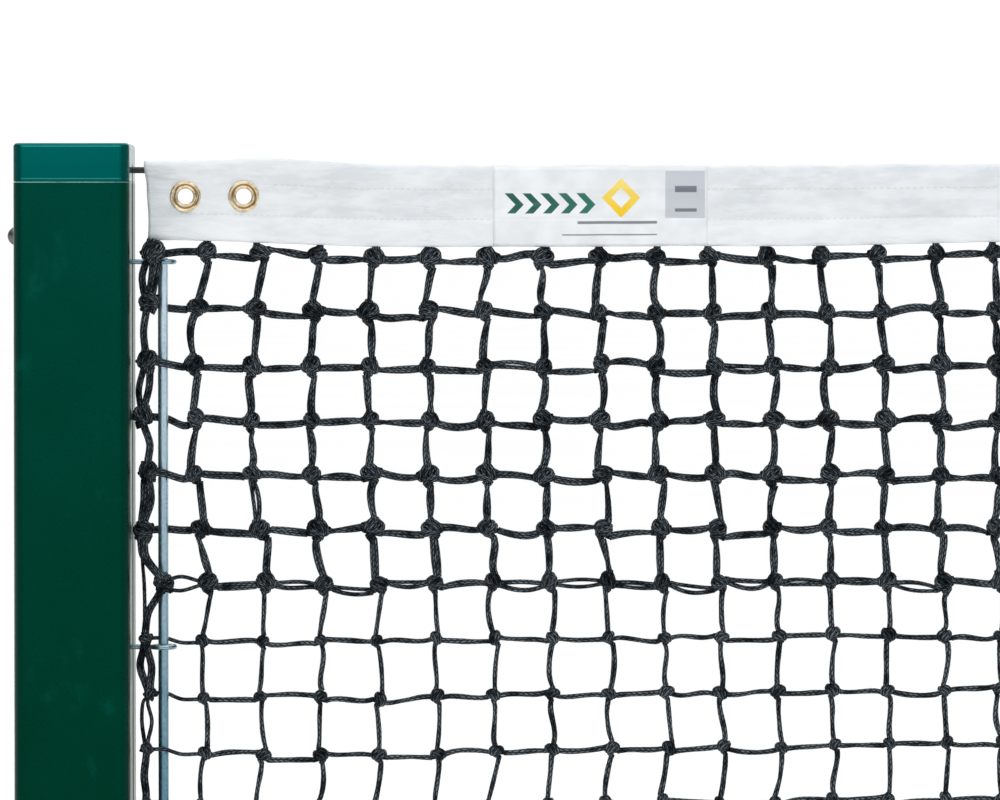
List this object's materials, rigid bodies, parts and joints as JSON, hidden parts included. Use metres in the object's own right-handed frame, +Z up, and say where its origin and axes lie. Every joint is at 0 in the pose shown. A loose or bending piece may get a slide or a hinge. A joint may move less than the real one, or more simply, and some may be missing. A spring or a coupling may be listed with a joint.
{
  "type": "tennis net",
  "caption": "Full-length tennis net with double-twine top rows, cable headband, lacing rods on hooks, two square posts and a worm winch.",
  "frame": {"origin": "court surface midway between the two posts, in the net's plane", "axes": "+X along the net towards the post with the winch, +Z up, -Y the side the net's label faces"},
  "size_m": [13.02, 0.22, 1.085],
  "materials": {
    "post_paint": "satin powder coat",
    "cap_plastic": "glossy",
    "galvanised_steel": "galvanised",
    "dark_steel": "blackened",
    "coated_fabric": "matte coated",
    "label_vinyl": "smooth vinyl",
    "cable_coating": "black plastic coating over wire rope",
    "eyelet_brass": "polished",
    "net_twine": "braided",
    "bush_bronze": "machined",
    "grip_rubber": "matte"
  },
  "bodies": {
    "net_and_posts": {"left_post": "post_paint", "right_post": "post_paint", "left_base_plate": "post_paint", "right_base_plate": "post_paint", "rod_feet": "galvanised_steel", "headband": "coated_fabric", "headband_cable": "cable_coating", "eyelets": "eyelet_brass", "label_patch": "label_vinyl", "net_double_rows": "net_twine", "net_single_rows": "net_twine", "left_edge_lacing": "net_twine", "right_edge_lacing": "net_twine", "sheave_brackets": "galvanised_steel", "sheave_axles": "galvanised_steel", "dome_bolts": "dark_steel", "cable_anchor": "galvanised_steel", "winch_frame": "galvanised_steel", "winch_bushes": "bush_bronze", "winch_bolts": "dark_steel"},
    "left_cap": {"left_cap": "cap_plastic"},
    "right_cap": {"right_cap": "cap_plastic"},
    "left_rod": {"left_rod": "galvanised_steel"},
    "right_rod": {"right_rod": "galvanised_steel"},
    "left_sheave": {"left_sheave": "galvanised_steel"},
    "right_sheave": {"right_sheave": "galvanised_steel"},
    "drum": {"cable_drum": "galvanised_steel", "drum_winding": "cable_coating", "worm_wheel": "bush_bronze"},
    "crank": {"worm": "galvanised_steel", "crank": "galvanised_steel"},
    "crank_grip": {"crank_grip": "grip_rubber"},
    "left_hook_1": {"left_hook_1": "galvanised_steel"},
    "left_hook_2": {"left_hook_2": "galvanised_steel"},
    "left_hook_3": {"left_hook_3": "galvanised_steel"},
    "left_hook_4": {"left_hook_4": "galvanised_steel"},
    "right_hook_1": {"right_hook_1": "galvanised_steel"},
    "right_hook_2": {"right_hook_2": "galvanised_steel"},
    "right_hook_3": {"right_hook_3": "galvanised_steel"},
    "right_hook_4": {"right_hook_4": "galvanised_steel"}
  },
  "joints": [
    {"name": "left_cap_lift", "type": "slide", "parent": "net_and_posts", "child": "left_cap", "axis": [0, 0, 1], "range_m": [0, 0.05]},
    {"name": "left_hook_1_slide", "type": "slide", "parent": "net_and_posts", "child": "left_hook_1", "axis": [0, 0, 1], "range_m": [-0.025, 0]},
    {"name": "left_hook_2_slide", "type": "slide", "parent": "net_and_posts", "child": "left_hook_2", "axis": [0, 0, 1], "range_m": [-0.025, 0]},
    {"name": "left_hook_3_slide", "type": "slide", "parent": "net_and_posts", "child": "left_hook_3", "axis": [0, 0, 1], "range_m": [-0.025, 0]},
    {"name": "left_hook_4_slide", "type": "slide", "parent": "net_and_posts", "child": "left_hook_4", "axis": [0, 0, 1], "range_m": [-0.025, 0]},
    {"name": "left_rod_lift", "type": "slide", "parent": "net_and_posts", "child": "left_rod", "axis": [0, 0, 1], "range_m": [0, 0.01]},
    {"name": "left_sheave_turn", "type": "hinge", "parent": "net_and_posts", "child": "left_sheave", "pos_m": [-6.402, 0, 1.0445], "axis": [0, 1, 0], "continuous": true},
    {"name": "right_cap_lift", "type": "slide", "parent": "net_and_posts", "child": "right_cap", "axis": [0, 0, 1], "range_m": [0, 0.05]},
    {"name": "right_hook_1_slide", "type": "slide", "parent": "net_and_posts", "child": "right_hook_1", "axis": [0, 0, 1], "range_m": [-0.025, 0]},
    {"name": "right_hook_2_slide", "type": "slide", "parent": "net_and_posts", "child": "right_hook_2", "axis": [0, 0, 1], "range_m": [-0.025, 0]},
    {"name": "right_hook_3_slide", "type": "slide", "parent": "net_and_posts", "child": "right_hook_3", "axis": [0, 0, 1], "range_m": [-0.025, 0]},
    {"name": "right_hook_4_slide", "type": "slide", "parent": "net_and_posts", "child": "right_hook_4", "axis": [0, 0, 1], "range_m": [-0.025, 0]},
    {"name": "right_rod_lift", "type": "slide", "parent": "net_and_posts", "child": "right_rod", "axis": [0, 0, 1], "range_m": [0, 0.01]},
    {"name": "right_sheave_turn", "type": "hinge", "parent": "net_and_posts", "child": "right_sheave", "pos_m": [6.402, 0, 1.0445], "axis": [0, 1, 0], "continuous": true},
    {"name": "crank_turn", "type": "hinge", "parent": "net_and_posts", "child": "crank", "pos_m": [6.445, -0.014, 0.789], "axis": [1, 0, 0], "continuous": true},
    {"name": "drum_turn", "type": "hinge", "parent": "net_and_posts", "child": "drum", "pos_m": [6.408, 0, 0.82], "axis": [0, 1, 0], "continuous": true},
    {"name": "grip_spin", "type": "hinge", "parent": "crank", "child": "crank_grip", "pos_m": [6.475, -0.014, 0.639], "axis": [1, 0, 0], "continuous": true}
  ],
  "couplings": [
    {"joint": "drum_turn", "follows": "crank_turn", "ratio": 0.041667},
    {"joint": "right_sheave_turn", "follows": "crank_turn", "ratio": 0.028125}
  ]
}
